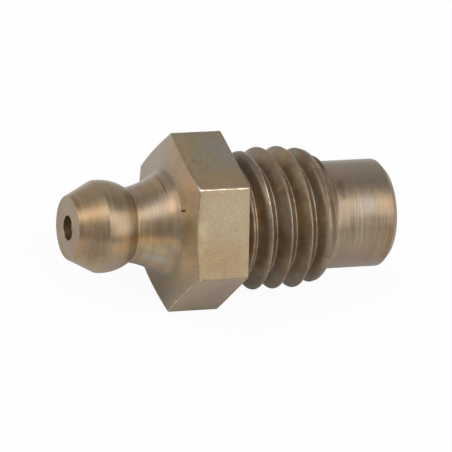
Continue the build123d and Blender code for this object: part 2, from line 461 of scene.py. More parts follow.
def tail_corners(thread, valve, places):
    """Outline from the thread's end over the tail, in at the outlet and back to the ball's seat."""
    tail, bore = thread.tail_diameter / 2, valve.bore_diameter / 2
    lip, outlet = valve.lip_diameter / 2, valve.outlet_diameter / 2
    lip_foot = places.lip_end + (outlet - lip) * tan(valve.lip_slope)
    return [
        Corner(thread.end, tail, rings=6),
        Corner(TAIL_END - thread.tail_chamfer, tail, thread.tail_edge, rings=2),
        Corner(TAIL_END, tail - thread.tail_chamfer, thread.tail_edge, rings=3),
        Corner(TAIL_END, outlet, valve.inlet_edge, rings=4, finish=BORED),
        Corner(lip_foot, outlet, rings=2, finish=BORED),
        Corner(places.lip_end, lip, SHARP_EDGE, rings=2, finish=BORED),
        Corner(places.lip_start, lip, SHARP_EDGE, rings=2, finish=BORED),
        Corner(places.lip_start, bore, rings=4, finish=BORED),
        Corner(ball_seat(valve)[1], bore, finish=BORED),
    ]


def thread_rings(thread, angles):
    """Rings that follow the helix, clamped to the thread's ends, and how many of them make one turn."""
    crest, root = thread.diameter / 2, thread.diameter / 2 - thread.depth
    tail, rounding, flank = thread.tail_diameter / 2, thread.crest_rounding, thread.flank
    crest_side = rounding * cos(flank)
    root_side = crest_side + (thread.depth - rounding * (1 - sin(flank))) * tan(flank)
    hollow = (thread.pitch / 2 - root_side) * cos(flank) / (1 - sin(flank))
    hollow_side = thread.pitch / 2 - hollow * cos(flank)
    half = np.concatenate(
        [
            np.linspace(0, crest_side, CREST_RINGS)[:-1],
            np.linspace(crest_side, hollow_side, FLANK_RINGS)[:-1],
            np.linspace(hollow_side, thread.pitch / 2, ROOT_RINGS),
        ]
    )
    offsets = np.concatenate([-half[:0:-1], half[:-1]])
    distance = np.abs(offsets)
    on_crest = crest - rounding + np.sqrt(np.maximum(rounding**2 - distance**2, 0))
    on_flank = crest - rounding * (1 - sin(flank)) - (distance - crest_side) / tan(flank)
    in_root = root + hollow - np.sqrt(np.maximum(hollow**2 - (thread.pitch / 2 - distance) ** 2, 0))
    below_crest = np.where(distance < hollow_side, on_flank, in_root)
    profile = np.where(distance < crest_side, on_crest, below_crest)

    begin, end = thread.undercut_end, thread.end
    at_zero = crest_at_zero(thread)
    first = int((begin - at_zero) // thread.pitch) - 1
    last = int((end - at_zero) // thread.pitch) + 1
    starts = (at_zero + thread.pitch * np.arange(first, last + 1)[:, None] + offsets).ravel()
    x = np.clip(starts[:, None] + thread.pitch * angles[None, :] / (2 * pi), begin, end)
    start_radius, undercut = crest - thread.start_depth, undercut_radius(thread)
    thread_start = begin + start_radius - undercut
    cut_at = [
        (begin, undercut),
        (thread_start, start_radius),
        (
            thread.full_from + CONE_OVERRUN,
            crest + CONE_OVERRUN * thread.start_depth / (thread.full_from - thread_start),
        ),
        (
            thread.full_to - CONE_OVERRUN,
            crest + CONE_OVERRUN * thread.fade_depth / (thread.fade_to - thread.full_to),
        ),
        (thread.fade_to, crest - thread.fade_depth),
        (end, tail),
    ]
    cut = np.interp(x, *zip(*cut_at))
    shank = np.interp(
        x,
        [begin, begin + thread.undercut_below_root, end - (root - tail), end],
        [undercut, root, root, tail],
    )
    ridge = smaller_of(np.tile(profile, last + 1 - first)[:, None], cut, CREST_BLEND)
    return np.stack([x, np.maximum(shank, ridge)], axis=1), len(offsets)


class ValvePlaces(NamedTuple):
    """Where the spring and its lip sit along the axis."""

    coil_start: float
    coil_end: float
    lip_start: float
    lip_end: float


def valve_places(valve):
    """Lays the spring and its lip out from the check ball's CAD solid."""
    wire = valve.wire_diameter / 2
    low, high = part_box("check_ball")
    coil = valve.spring_diameter / 2 - wire
    contact = valve.ball_diameter / 2 + wire + valve.lip_gap
    coil_start = (low.x + high.x) / 2 + sqrt(contact**2 - coil**2)
    coil_end = coil_start + valve.spring_length - 2 * wire
    lip_start = coil_end + wire + valve.lip_gap
    return ValvePlaces(coil_start, coil_end, lip_start, lip_start + valve.lip_length)


def rounded_edges(x, radius, angles, head, hexagon, corner_turn):
    """1 on the rounded edges of the hexagon and of the head's face, 0 a little way off them."""
    fading = [corner_turn, OFF_CORNER * corner_turn]
    long_edge = np.interp(angle_off_corner(angles), fading, [1.0, 0.0])
    side = hexagon_radius(angles, hexagon)[0]
    on_side = radius > side - 0.5 * hexagon.rim_radius
    to_front = np.hypot(x - domed_front(head, hexagon, side), radius - side)
    rim = np.interp(to_front, [hexagon.rim_radius, 2.4 * hexagon.rim_radius], [1.0, 0.0])
    to_face = np.hypot(x - HEAD_FACE, radius - head.face_diameter / 2)
    face_rim = np.interp(to_face, [head.face_edge, 2 * head.face_edge], [1.0, 0.0])
    in_hexagon = on_side & (x > -hexagon.length - hexagon.front_rise) & (x < 0)
    return np.maximum.reduce([np.where(in_hexagon, long_edge, 0), rim, face_rim])


class NIPPLE_OT_turn_body(bpy.types.Operator):
    """Turn the nipple's one-piece body: head, neck, hexagon, thread, tail and grease way"""

    bl_idname = "nipple.turn_body"
    bl_label = "Turn the body"

    def execute(self, context):
        scene = context.scene
        head, hexagon = scene.nipple_head, scene.nipple_hexagon
        thread, valve = scene.nipple_thread, scene.nipple_valve
        corner_turn = hexagon_radius(np.zeros(1), hexagon)[1]
        angles = ring_angles(corner_turn)
        side = hexagon_radius(angles, hexagon)[0]
        columns = len(angles)

        front, front_finish = outline_rings(front_corners(head, hexagon, thread, valve, side), columns)
        wound, turn = thread_rings(thread, angles)
        tail, tail_finish = outline_rings(tail_corners(thread, valve, valve_places(valve)), columns)

        front_along, tail_along = distances(front), distances(tail)
        behind_flats = front_finish.index(FLAT) + 1
        front_along[behind_flats:] += front_along[-1].max() - front_along[-1]
        wound_along = front_along[-1].max() + wound[:, 0] - thread.undercut_end
        tail_along += wound_along.max()

        rings = np.concatenate([front, wound, tail])
        along = np.concatenate([front_along, wound_along, tail_along])
        x, radius = rings[:, 0], rings[:, 1]
        points = np.stack([radius * np.cos(angles), radius * np.sin(angles), x], axis=-1).reshape(-1, 3)
        faces = np.concatenate(
            [
                ring_faces(len(front), columns, 0),
                ring_faces(len(wound), columns, len(front) * columns, turn),
                ring_faces(len(tail), columns, (len(front) + len(wound)) * columns),
            ]
        )
        finishes = front_finish[:-1] + [THREADED] * (len(wound) - 1) + tail_finish[:-1]

        mesh = bpy.data.meshes.new("nipple_body")
        mesh.from_pydata(points, [], faces)
        mesh.polygons.foreach_set("material_index", np.repeat(finishes, columns))
        mesh.attributes.new("along", "FLOAT", "POINT").data.foreach_set("value", along.ravel())
        on_rounded_edge = rounded_edges(x, radius, angles, head, hexagon, corner_turn)
        mesh.attributes.new("on_rounded_edge", "FLOAT", "POINT").data.foreach_set("value", on_rounded_edge.ravel())
        body = link_piece("nipple_body", mesh)
        # In the order of TURNED, FLAT, THREADED and BORED.
        for finish in (turned_plating, drawn_plating, threaded_plating, bored_plating):
            mesh.materials.append(finish(scene.nipple_finishes))
        mesh.use_auto_texspace = False
        mesh.texspace_location = (0, 0, 0)
        mesh.texspace_size = (hexagon.across_flats,) * 3
        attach(body, "body")
        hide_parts("body")
        return {"FINISHED"}


class NIPPLE_OT_finish_ball(bpy.types.Operator):
    """Give the check ball its greasy steel"""

    bl_idname = "nipple.finish_ball"
    bl_label = "Finish the check ball"

    def execute(self, context):
        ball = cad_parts["check_ball"]
        ball.data.materials.clear()
        ball.data.materials.append(ball_steel(context.scene.nipple_finishes))
        return {"FINISHED"}


class NIPPLE_OT_wind_spring(bpy.types.Operator):
    """Wind the check spring from round wire"""

    bl_idname = "nipple.wind_spring"
    bl_label = "Wind the check spring"

    def execute(self, context):
        valve = context.scene.nipple_valve
        places = valve_places(valve)
        wire, sides = valve.wire_diameter / 2, valve.wire_sides
        coil = valve.spring_diameter / 2 - wire
        turns = (places.coil_end - places.coil_start) / valve.coil_pitch
        steps = int(turns * STEPS_PER_COIL)
        turn = np.linspace(0, 2 * pi * turns, steps + 1)[:, None]
        x = places.coil_start + valve.coil_pitch * turn / (2 * pi)
        lead = atan2(valve.coil_pitch, 2 * pi * coil)
        round_wire = np.arange(sides) * 2 * pi / sides
        rise = wire * np.sin(round_wire)
        reach = coil + wire * np.cos(round_wire)
        # The wire's section is square to the helix, so it leans by the lead angle.
        y = -reach * np.sin(turn) + rise * sin(lead) * np.cos(turn)
        z = reach * np.cos(turn) + rise * sin(lead) * np.sin(turn)
        points = np.stack([y, z, x + rise * cos(lead)], axis=-1).reshape(-1, 3)
        ends = np.array([[0, coil], [-coil * sin(turn[-1, 0]), coil * cos(turn[-1, 0])]])
        points = np.concatenate([points, np.column_stack([ends, [x[0, 0], x[-1, 0]]])])
        faces = ring_faces(steps + 1, sides, 0).tolist()
        last = steps * sides
        for side in range(sides):
            ahead = (side + 1) % sides
            faces.append((len(points) - 2, ahead, side))
            faces.append((len(points) - 1, last + side, last + ahead))
        mesh = bpy.data.meshes.new("nipple_spring")
        mesh.from_pydata(points, [], faces)
        spring = link_piece("nipple_spring", mesh)
        mesh.materials.append(spring_steel(context.scene.nipple_finishes))
        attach(spring, "body")
        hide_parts("check_spring")
        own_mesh(spring)
        return {"FINISHED"}


# --- Finishes ------------------------------------------------------------------------------------


class Flow:
    """A value in a node tree. Python's operators work on it by adding Math nodes."""

    def __init__(self, tree, socket):
        self.tree, self.socket = tree, socket

    def plug_into(self, socket):
        """Links the value into a node's socket."""
        self.tree.links.new(self.socket, socket)

    def maths(self, operation, first, second):
        """The value that a Math node makes of two values or numbers."""
        node = self.tree.nodes.new("ShaderNodeMath")
        node.operation = operation
        for value, socket in ((first, node.inputs[0]), (second, node.inputs[1])):
            plug(value, socket)
        return Flow(self.tree, node.outputs[0])

    def __add__(self, other):
        return self.maths("ADD", self, other)

    def __sub__(self, other):
        return self.maths("SUBTRACT", self, other)

    def __rsub__(self, other):
        return self.maths("SUBTRACT", other, self)

    def __mul__(self, other):
        return self.maths("MULTIPLY", self, other)

    def __truediv__(self, other):
        return self.maths("DIVIDE", self, other)

    def __rtruediv__(self, other):
        return self.maths("DIVIDE", other, self)

    __radd__ = __add__
    __rmul__ = __mul__


def plug(value, socket):
    """Links a flow into a socket, or sets the socket to a number or a colour."""
    if isinstance(value, Flow):
        value.plug_into(socket)
    elif socket.type == "RGBA":
        socket.default_value = (*value[:3], 1.0)
    else:
        socket.default_value = value


class Nodes:
    """Adds nodes to the tree of a material or of the world."""

    def __init__(self, tree):
        tree.nodes.clear()
        self.tree = tree

    def add(self, kind, settings=None, sockets=None, output=""):
        """A node of a type, with its settings made first, then its sockets set or linked."""
        node = self.tree.nodes.new("ShaderNode" + kind)
        for name, value in (settings or {}).items():
            setattr(node, name, value)
        by_name = {socket.identifier: socket for socket in node.inputs}
        for name, value in (sockets or {}).items():
            plug(value, by_name[name])
        outputs = {socket.identifier: socket for socket in node.outputs}
        return Flow(self.tree, outputs.get(output) or next(iter(node.outputs), None))

    def stored(self, name):
        """A value that the mesh holds at each of its points."""
        return self.add("Attribute", {"attribute_name": name}, output="Fac")

    def vector(self, x, y, z):
        """A vector put together from three values."""
        return self.add("CombineXYZ", sockets={"X": x, "Y": y, "Z": z})

    def parts(self, vector):
        """The three values that make up a vector."""
        node = self.add("SeparateXYZ", sockets={"Vector": vector}).socket.node
        return [Flow(self.tree, socket) for socket in node.outputs]

    def stretched(self, vector, x, y, z):
        """A vector with each of its parts multiplied, so that noise on it is drawn out or packed."""
        return self.add(
            "VectorMath", {"operation": "MULTIPLY"}, {"Vector": vector, "Vector_001": (x, y, z)}
        )

    def cloud(self, vector, scale, detail=2.0, roughness=0.5):
        """Soft noise, mostly between 0.3 and 0.7. The scale is in waves for each millimetre."""
        return self.add(
            "TexNoise",
            sockets={"Vector": vector, "Scale": scale, "Detail": detail, "Roughness": roughness},
        )

    def step(self, value, low, high):
        """0 below low, 1 above high, and smooth between them."""
        return self.add(
            "MapRange",
            {"interpolation_type": "SMOOTHSTEP"},
            {"Value": value, "From Min": low, "From Max": high},
        )

    def within(self, value, start, end):
        """1 from one border to another, each given as the two values that it is soft between."""
        return self.step(value, *start) * (1 - self.step(value, *end))

    def blend(self, amount, first, second):
        """One colour turning into another."""
        return self.add(
            "Mix",
            {"data_type": "RGBA"},
            {"Factor_Float": amount, "A_Color": first, "B_Color": second},
            "Result_Color",
        )

    def near(self, vector, place, along, around, ragged=0.0):
        """1 at a place, and 0 from some millimetres off it along the axis or round it."""
        offset = self.add(
            "VectorMath", {"operation": "SUBTRACT"}, {"Vector": vector, "Vector_001": place}
        )
        reach = self.stretched(offset, 1 / along, 1 / around, 1 / around)
        away = self.add("VectorMath", {"operation": "LENGTH"}, {"Vector": reach}, "Value")
        return 1 - self.step(away + ragged, 0.1, 1.0)

    def shaded(self, colour, amount):
        """A colour made lighter or darker, or a vector made longer or shorter."""
        return self.add("VectorMath", {"operation": "SCALE"}, {"Vector": colour, "Scale": amount})

    def relief(self, height):
        """The normal of a surface with a height, in millimetres."""
        return self.add("Bump", sockets={"Distance": MM, "Height": height}, output="Normal")

    def metal(self, colour, roughness, normal, stretch=0.0, film=0.0):
        """A metal surface under a clear film. A stretch draws highlights out across turning lines."""
        shader = self.add(
            "BsdfPrincipled",
            sockets={
                "Base Color": colour,
                "Metallic": 1.0,
                "Roughness": roughness,
                "Anisotropic": stretch,
                "Anisotropic Rotation": 0.25,
                "Coat Weight": film,
                "Coat Roughness": 0.35,
                "Normal": normal,
            },
        )
        self.add("OutputMaterial", sockets={"Surface": shader})


def new_material(name):
    """A new material, and the means to add its nodes."""
    material = bpy.data.materials.new(name)
    material.use_nodes = True
    return material, Nodes(material.node_tree)


class Turned(NamedTuple):
    """Where a shader works on a turned piece, in millimetres."""

    nodes: Nodes
    place: Flow
    x: Flow
    wound: Flow
    crest: Flow
    lean: Flow
    phase: Flow


def new_finish(name, pitch, crest_place):
    """A new material with the coordinates of a turned piece.

    Place counts along the axis, across it and up. Wound is the direction round the axis with the
    distance along the outline, so noise on it makes turning lines. Crest goes from 1 on a helix's
    crests to -1 between them, and lean is above 0 on the crests' tail side.
    """
    material, nodes = new_material(name)
    metres = nodes.add("TexCoord", output="Object")
    across, up, x = nodes.parts(nodes.shaded(metres, 1 / MM))
    radius = nodes.add("Math", {"operation": "SQRT"}, {"Value": across * across + up * up})
    inverse = 1 / radius
    along = nodes.stored("along") / MM
    turn = nodes.add("Math", {"operation": "ARCTAN2"}, {"Value": up, "Value_001": across})
    angle = (x - crest_place / MM) * (2 * pi * MM / pitch) - turn
    crest = nodes.add("Math", {"operation": "COSINE"}, {"Value": angle})
    lean = nodes.add("Math", {"operation": "SINE"}, {"Value": angle})
    place = nodes.vector(x, across, up)
    wound = nodes.vector(across * inverse, up * inverse, along)
    phase = nodes.vector(crest, lean, radius)
    return material, Turned(nodes, place, x, wound, crest, lean, phase)


def body_finish(name):
    """A new material for the body, whose helix is the thread's."""
    thread = bpy.context.scene.nipple_thread
    return new_finish(name, thread.pitch, crest_at_zero(thread))


# Borders along the axis, in millimetres, each as the two places that it is soft between.
FACE_END = (HEAD_FACE / MM + 0.05, HEAD_FACE / MM + 0.2)
FACE_RIM_END = (HEAD_FACE / MM + 0.2, HEAD_FACE / MM + 0.3)
GOLD_END = (-10.2, -9.4)
NECK_FOOT_START, NECK_FOOT_END = (-4.65, -4.5), (-4.4, -4.28)
DOME_START, DOME_END = (-4.4, -4.25), (-3.2, -3.0)
FRONT_DARK_END, SEAT_DARK_START = (-3.75, -3.45), (-0.3, -0.05)
FIRST_TURN_START, LAST_TURN_START, THREAD_LINES_END = (0.3, 1.2), (6.0, 6.6), (6.2, 6.8)
GREY_START = (4, 7)
TAIL_START = (6.9, 7.6)

# Where the tail's highlight falls: there its turning lines are painted strongest, as painted streaks of
# highlight, and are deepest in the relief. The place, and the reach along and round.
TAIL_HIGHLIGHT_BAND = (9.5, -2.9, 1.9), 6.0, 3.0

# Where the flats have most pits.
PITTED_FLAT = (-2, -5.2, 2), 4, 4


def plating_colour(at, finishes, strength):
    """Passivated plating: gold on the head, tan, then grey on the tail, and tinted by its film."""
    nodes = at.nodes
    film = nodes.cloud(nodes.stretched(at.place, 0.9, 1, 1), 0.45, 3)
    film += (nodes.cloud(nodes.stretched(at.wound, 0.8, 0.8, 2.2), 1.0, 3) - 0.5) * 0.25
    colour = nodes.blend(nodes.step(at.x, *GOLD_END), finishes.gold_plating, finishes.tan_plating)
    colour = nodes.blend(nodes.step(at.x, *GREY_START), colour, finishes.grey_plating)
    colour = nodes.blend(nodes.step(film, 0.46, 0.34) * strength, colour, finishes.olive_plating)
    return nodes.blend(nodes.step(film, 0.54, 0.64) * strength, colour, finishes.rose_plating)


# Stains in the plating, and painted highlights and shade: the place along, across and up in
# millimetres, how far the stain reaches along and round the axis, its tone, how strong that is, and how
# much paler it is at its middle. That paling paints highlight where it is above 0 and shade where it is
# below 0, as well as the plating's own uneven tone.
STAINS_AND_PAINTED_LIGHT = (
    ((-11.3, -1.6, -0.9), 0.6, 2.2, "rose", 0.5, -0.14),
    ((-10.5, -1.4, 2.6), 1.6, 1.4, "amber", 0.45, -0.1),
    ((-10.3, -2.8, 0.3), 1.4, 1.6, "grey", 0.1, -0.26),
    ((-8.6, -3.0, 0.8), 1.4, 1.2, "amber", 0.75, 0.24),
    ((-9.7, -2.7, 1.2), 1.1, 1.2, "olive", 0.35, -0.04),
    ((-8.8, -3.0, -1.1), 1.8, 0.9, "lilac", 0.5, -0.03),
    ((-7.8, -1.9, 2.6), 0.8, 1.2, "gold", 0.4, 0.14),
    ((-6.2, -2.7, 0.9), 2.8, 0.8, "amber", 1.0, 0.28),
    ((-5.4, 0.7, 3.0), 1.2, 1.2, "amber", 0.4, 0.14),
    ((-4.7, -0.9, 3.4), 0.5, 0.9, "rose", 0.3, 0.18),
    ((-5.3, -1.6, 2.8), 0.9, 0.5, "tan", 0.2, -0.12),
    ((-6.0, -2.8, 0.1), 2.6, 0.65, "olive", 0.6, 0.22),
    ((-5.7, -3.0, -0.6), 2.4, 0.7, "slate", 0.85, 0.18),
    ((-5.5, -2.8, -1.6), 2.4, 0.9, "rose", 0.6, 0.0),
    ((-4.8, -1.6, 3.0), 0.6, 1.0, "rose", 0.6, 0.14),
    ((-4.7, -0.2, 3.4), 0.8, 1.0, "slate", 0.3, 0.0),
    ((-4.98, 0.35, 3.3), 0.13, 1.7, "russet", 0.5, -0.25),
    ((-4.5, -1.8, 3.1), 0.28, 1.2, "tan", 0.4, -0.25),
    ((-4.3, 1.8, 3.5), 0.4, 1.2, "slate", 0.3, -0.12),
    ((-5.9, -1.2, 2.7), 1.0, 1.4, "slate", 0.35, 0.03),
    ((-5.3, -3.2, 0.1), 0.8, 0.6, "olive", 0.3, 0.12),
    ((-4.6, -3.6, 0.1), 0.5, 1.0, "lilac", 0.6, -0.12),
    ((-4.1, -4.7, 0.3), 1.2, 2.0, "amber", 0.5, 0.24),
    ((-3.9, 3.0, 4.4), 1.5, 2.6, "slate", 0.35, 0.05),
    ((-3.8, 1.2, 5.0), 0.9, 2.4, "amber", 0.35, 0.04),
    ((-4.1, -1.7, 4.5), 1.2, 2.6, "amber", 0.5, 0.12),
    ((-4.1, -4.0, 2.4), 1.2, 2.6, "olive", 0.6, 0.34),
    ((-0.8, 1.0, 5.5), 2.4, 3.2, "slate", 0.7, 0.03),
    ((-2.0, -2.4, 5.5), 3.2, 1.4, "amber", 0.4, 0.03),
    ((-3.6, 1.0, 5.5), 1.0, 2.8, "gold", 0.4, 0.1),
    ((-1.6, -4.0, 4.0), 2.6, 2.8, "slate", 0.22, 0.08),
    ((-2.2, -5.7, 1.2), 3.0, 1.9, "amber", 0.4, -0.12),
    ((-1.4, -5.0, -2.4), 3.2, 2.8, "rose", 0.65, -0.16),
    ((-0.8, -5.6, -1.3), 1.8, 1.6, "rose", 0.5, -0.08),
    ((1.1, -3.4, 2.0), 0.5, 4.0, "thread", 0.5, 0.4),
    ((1.2, 1.0, 4.3), 0.9, 2.4, "lilac", 0.45, -0.34),
    ((3.6, 1.6, 4.3), 2.8, 1.8, "gold", 0.8, 0.0),
    ((3.1, -3.3, 3.2), 1.0, 1.8, "slate", 0.5, 0.05),
    ((4.0, -3.5, 2.4), 0.6, 2.0, "olive", 0.3, 0.16),
    ((5.9, -3.4, 1.9), 0.5, 2.6, "olive", 0.4, 0.22),
    ((2.2, 0.9, 4.0), 0.9, 1.5, "thread", 0.4, -0.16),
    ((1.6, -1.3, 4.6), 0.5, 1.6, "thread", 0.5, -0.16),
    ((6.8, 1.0, 4.0), 1.2, 2.0, "russet", 0.4, -0.15),
    ((6.1, -1.5, 4.5), 0.6, 1.5, "thread", 0.5, -0.2),
    ((7.5, -0.7, 3.7), 0.5, 1.2, "rose", 0.5, -0.12),
    ((6.8, -3.9, 2.0), 0.4, 3.0, "thread", 0.5, -0.12),
    ((8.2, -2.3, 3.0), 1.2, 3.0, "tan", 0.4, -0.08),
    ((9.6, -3.0, 1.8), 3.4, 3.0, "tan", 0.5, 0.1),
    ((9.4, -2.6, 2.8), 1.0, 2.0, "lilac", 0.5, -0.04),
    ((9.9, -2.6, 2.8), 0.45, 1.5, "slate", 0.6, 0.03),
    ((10.9, -2.4, 2.9), 0.6, 1.8, "amber", 0.4, 0.08),
    ((11.6, -2.6, 2.4), 0.6, 4.5, "amber", 0.3, -0.12),
    ((7.5, -3.4, 1.4), 0.4, 4.0, "tan", 0.6, 0.12),
    ((10.2, -3.4, -1.2), 3.2, 2.2, "rose", 0.55, -0.13),
    ((10.1, -3.2, 2.0), 2.8, 0.55, "tan", 0.3, -0.19),
    ((9.5, -3.5, 1.4), 2.8, 0.45, "tan", 0.3, 0.14),
    ((10.3, -3.5, 0.4), 0.35, 3.0, "amber", 0.4, -0.12),
    ((10.6, -3.1, 2.1), 2.4, 0.6, "amber", 0.25, -0.16),
    ((11.3, -3.5, 0.6), 0.5, 3.2, "amber", 0.5, -0.14),
    ((7.5, -2.3, 3.0), 0.1, 1.6, "russet", 0.8, -0.25),
    ((8.0, -1.2, 3.6), 0.6, 0.8, "russet", 0.45, -0.14),
    ((8.0, -1.9, 3.3), 0.35, 0.5, "russet", 0.4, -0.14),
)

# Dark spots of dried passivate: the place and the reach in millimetres, and the strength.
SPOTS = (
    ((-4.31, -2.42, 3.06), 0.17, 1.0),
    ((-4.26, -2.56, 3.18), 0.16, 1.0),
    ((-4.22, -2.68, 3.28), 0.14, 0.8),
    ((-3.18, 0.0, 5.5), 0.28, 0.3),
    ((-2.75, -0.2, 5.5), 0.2, 0.25),
)


def stained_and_lit(at, finishes, colour):
    """A colour with the body's stains on it, and the painted highlights and shade of their paling,
    uneven at their edges.
    """
    nodes = at.nodes
    ragged = (nodes.cloud(at.place, 1.2, 5, 0.6) - 0.5) * 1.5
    tone = 1.0
    for place, along, around, stain, amount, painted_light in STAINS_AND_PAINTED_LIGHT:
        here = nodes.near(at.place, place, along, around, ragged)
        colour = nodes.blend(here * amount, colour, getattr(finishes, stain + "_plating"))
        # Tone adds painted highlight and painted shade to the plating's own tone.
        tone = here * painted_light + tone
    return nodes.shaded(colour, tone)


def spotted(at, finishes, colour):
    """A colour with the body's dark spots on it, ragged at their edges."""
    nodes = at.nodes
    ragged = nodes.cloud(at.place, 5.0, 3, 0.75) * 1.5
    for place, reach, amount in SPOTS:
        stain = nodes.step(nodes.near(at.place, place, reach, reach) * ragged, 0.12, 0.45)
        colour = nodes.blend(stain * amount, colour, finishes.deposit)
    return colour


def pits(at, spacing, share):
    """1 in tiny round pits, spaced by so many millimetres on average, in a share of the places."""
    cells = at.nodes.add("TexVoronoi", sockets={"Vector": at.place, "Scale": 1 / spacing})
    chance = at.nodes.parts(Flow(at.nodes.tree, cells.socket.node.outputs["Color"]))[0]
    return (1 - at.nodes.step(cells, 0.05, 0.34)) * at.nodes.step(chance, 1 - share, 1.02 - share)


# Edges painted bright, in millimetres: how far out lies the long top edge that carries a painted
# highlight along its whole length, the corner at its front end where that highlight turns, and the
# height under which all edges are painted brighter.
HIGHLIT_EDGE = (6.2, 6.3)
HIGHLIT_CORNER, HIGHLIT_CORNER_REACH = (-3.62, -2.95, 5.5), 0.5
BRIGHTER_UNDER = (-1.2, -0.6)


def bare_and_highlit_edges(at):
    """1 where the plating is rubbed off an edge and where an edge's highlight is painted: ragged, and
    most along the top long edge.
    """
    nodes = at.nodes
    _, across, up = nodes.parts(at.place)
    highlit_edge = nodes.step(up * cos(pi / 6) - across * sin(pi / 6), *HIGHLIT_EDGE)
    highlit_corner = nodes.near(at.place, HIGHLIT_CORNER, HIGHLIT_CORNER_REACH, HIGHLIT_CORNER_REACH)
    under = 1 - nodes.step(up, *BRIGHTER_UNDER)
    on_face = 1 - nodes.step(at.x, *FACE_RIM_END)
    ragged = nodes.cloud(nodes.stretched(at.place, 0.6, 1, 1), 3.5, 3, 0.6)
    # The wear here is partly rubbed plating and partly painted highlight on the edges.
    wear = nodes.stored("on_rounded_edge") * (ragged + highlit_edge * 0.25 + highlit_corner * 0.35 + under * 0.12)
    return nodes.step(wear, 0.5, 1.0) * (1 - on_face * 0.5)


def turned_plating(finishes):
    """Plating on the turned surfaces, with fine turning lines and broader bands round the axis, painted
    shade at the neck's foot, and the tail's turning lines painted strongest where its highlight falls.
    """
    material, at = body_finish("turned_plating")
    nodes = at.nodes
    lines = nodes.cloud(nodes.stretched(at.wound, 0.4, 0.4, 8), 1.0, 4, 0.7)
    fine = nodes.cloud(nodes.stretched(at.wound, 1.5, 1.5, 20), 1.0, 2, 0.6)
    bands = nodes.cloud(nodes.stretched(at.wound, 0.5, 0.5, 1.8), 1.0, 2)
    faced = 1 - nodes.step(at.x, *FACE_END)
    domed = nodes.within(at.x, DOME_START, DOME_END)
    on_tail = nodes.step(at.x, *TAIL_START)
    colour = nodes.blend(faced * 0.35, plating_colour(at, finishes, 0.4), finishes.grey_plating)
    neck_foot_shade = nodes.within(at.x, NECK_FOOT_START, NECK_FOOT_END)
    face_rim = nodes.stored("on_rounded_edge") * (1 - nodes.step(at.x, *FACE_RIM_END))
    colour = nodes.blend(face_rim * 0.6, stained_and_lit(at, finishes, colour), finishes.amber_plating)
    # Painted shade: the neck's foot, in the corner against the hexagon, is darkened.
    colour = nodes.shaded(colour, 1 - neck_foot_shade * 0.18 - face_rim * 0.12)
    # Turning lines on the tail are painted strongest where its highlight falls, as painted streaks of
    # highlight.
    in_tail_highlight = nodes.near(at.place, *TAIL_HIGHLIGHT_BAND)
    plain = (1 - domed * 0.75) * (1 - on_tail * (0.5 - in_tail_highlight * 0.5))
    streaks = (lines - 0.5) * 0.65 + (fine - 0.5) * 0.8 + (bands - 0.5) * 0.35
    strength = plain * (on_tail * in_tail_highlight * 1.1 + on_tail * 0.3 + 1)
    colour = nodes.shaded(colour, 1 + streaks * strength)
    colour = nodes.blend(pits(at, 0.26, 0.08) * 0.4, colour, finishes.deposit)
    bare_and_highlit = bare_and_highlit_edges(at)
    # Bare edges, and painted highlights on the edges.
    colour = nodes.blend(bare_and_highlit, spotted(at, finishes, colour), finishes.bare_edge_and_highlight)
    rougher = (lines - 0.5) * 0.3 + (fine - 0.5) * 0.2
    rougher += bands * 0.1 + on_tail * 0.05 - 0.05 - bare_and_highlit * 0.15
    height = (lines * 0.007 + bands * 0.003 + fine * 0.004) * plain
    roughness = rougher + finishes.turned_roughness
    nodes.metal(colour, roughness, nodes.relief(height), finishes.turning_stretch, finishes.film)
    return material


def drawn_plating(finishes):
    """Plating on the hexagon's flats: satin, with tiny dark pits, and darker near both ends."""
    material, at = body_finish("drawn_plating")
    nodes = at.nodes
    grain = nodes.cloud(nodes.stretched(at.place, 0.7, 1, 1), 7.0, 3, 0.7)
    mottle = nodes.cloud(at.place, 1.3, 3, 0.6)
    holes = pits(at, 0.15, 0.5) * (0.4 + nodes.near(at.place, *PITTED_FLAT) * 0.6)
    darker_at_ends = nodes.step(at.x, *SEAT_DARK_START) + 1 - nodes.step(at.x, *FRONT_DARK_END)
    colour = nodes.blend(0.35, plating_colour(at, finishes, 0.2), finishes.olive_plating)
    # The flats are darker near both ends, towards the front and the seat.
    tone = 0.56 + grain * 0.7 + mottle * 0.18 - darker_at_ends * 0.1
    colour = nodes.shaded(stained_and_lit(at, finishes, colour), tone)
    colour = nodes.blend(holes * 0.55, spotted(at, finishes, colour), finishes.deposit)
    bare_and_highlit = bare_and_highlit_edges(at)
    # Bare edges, and painted highlights on the edges.
    colour = nodes.blend(bare_and_highlit, colour, finishes.bare_edge_and_highlight)
    roughness = finishes.flat_roughness - 0.08 + grain * 0.16 - bare_and_highlit * 0.2
    nodes.metal(colour, roughness, nodes.relief(grain * 0.008 - holes * 0.008), film=finishes.film)
    return material


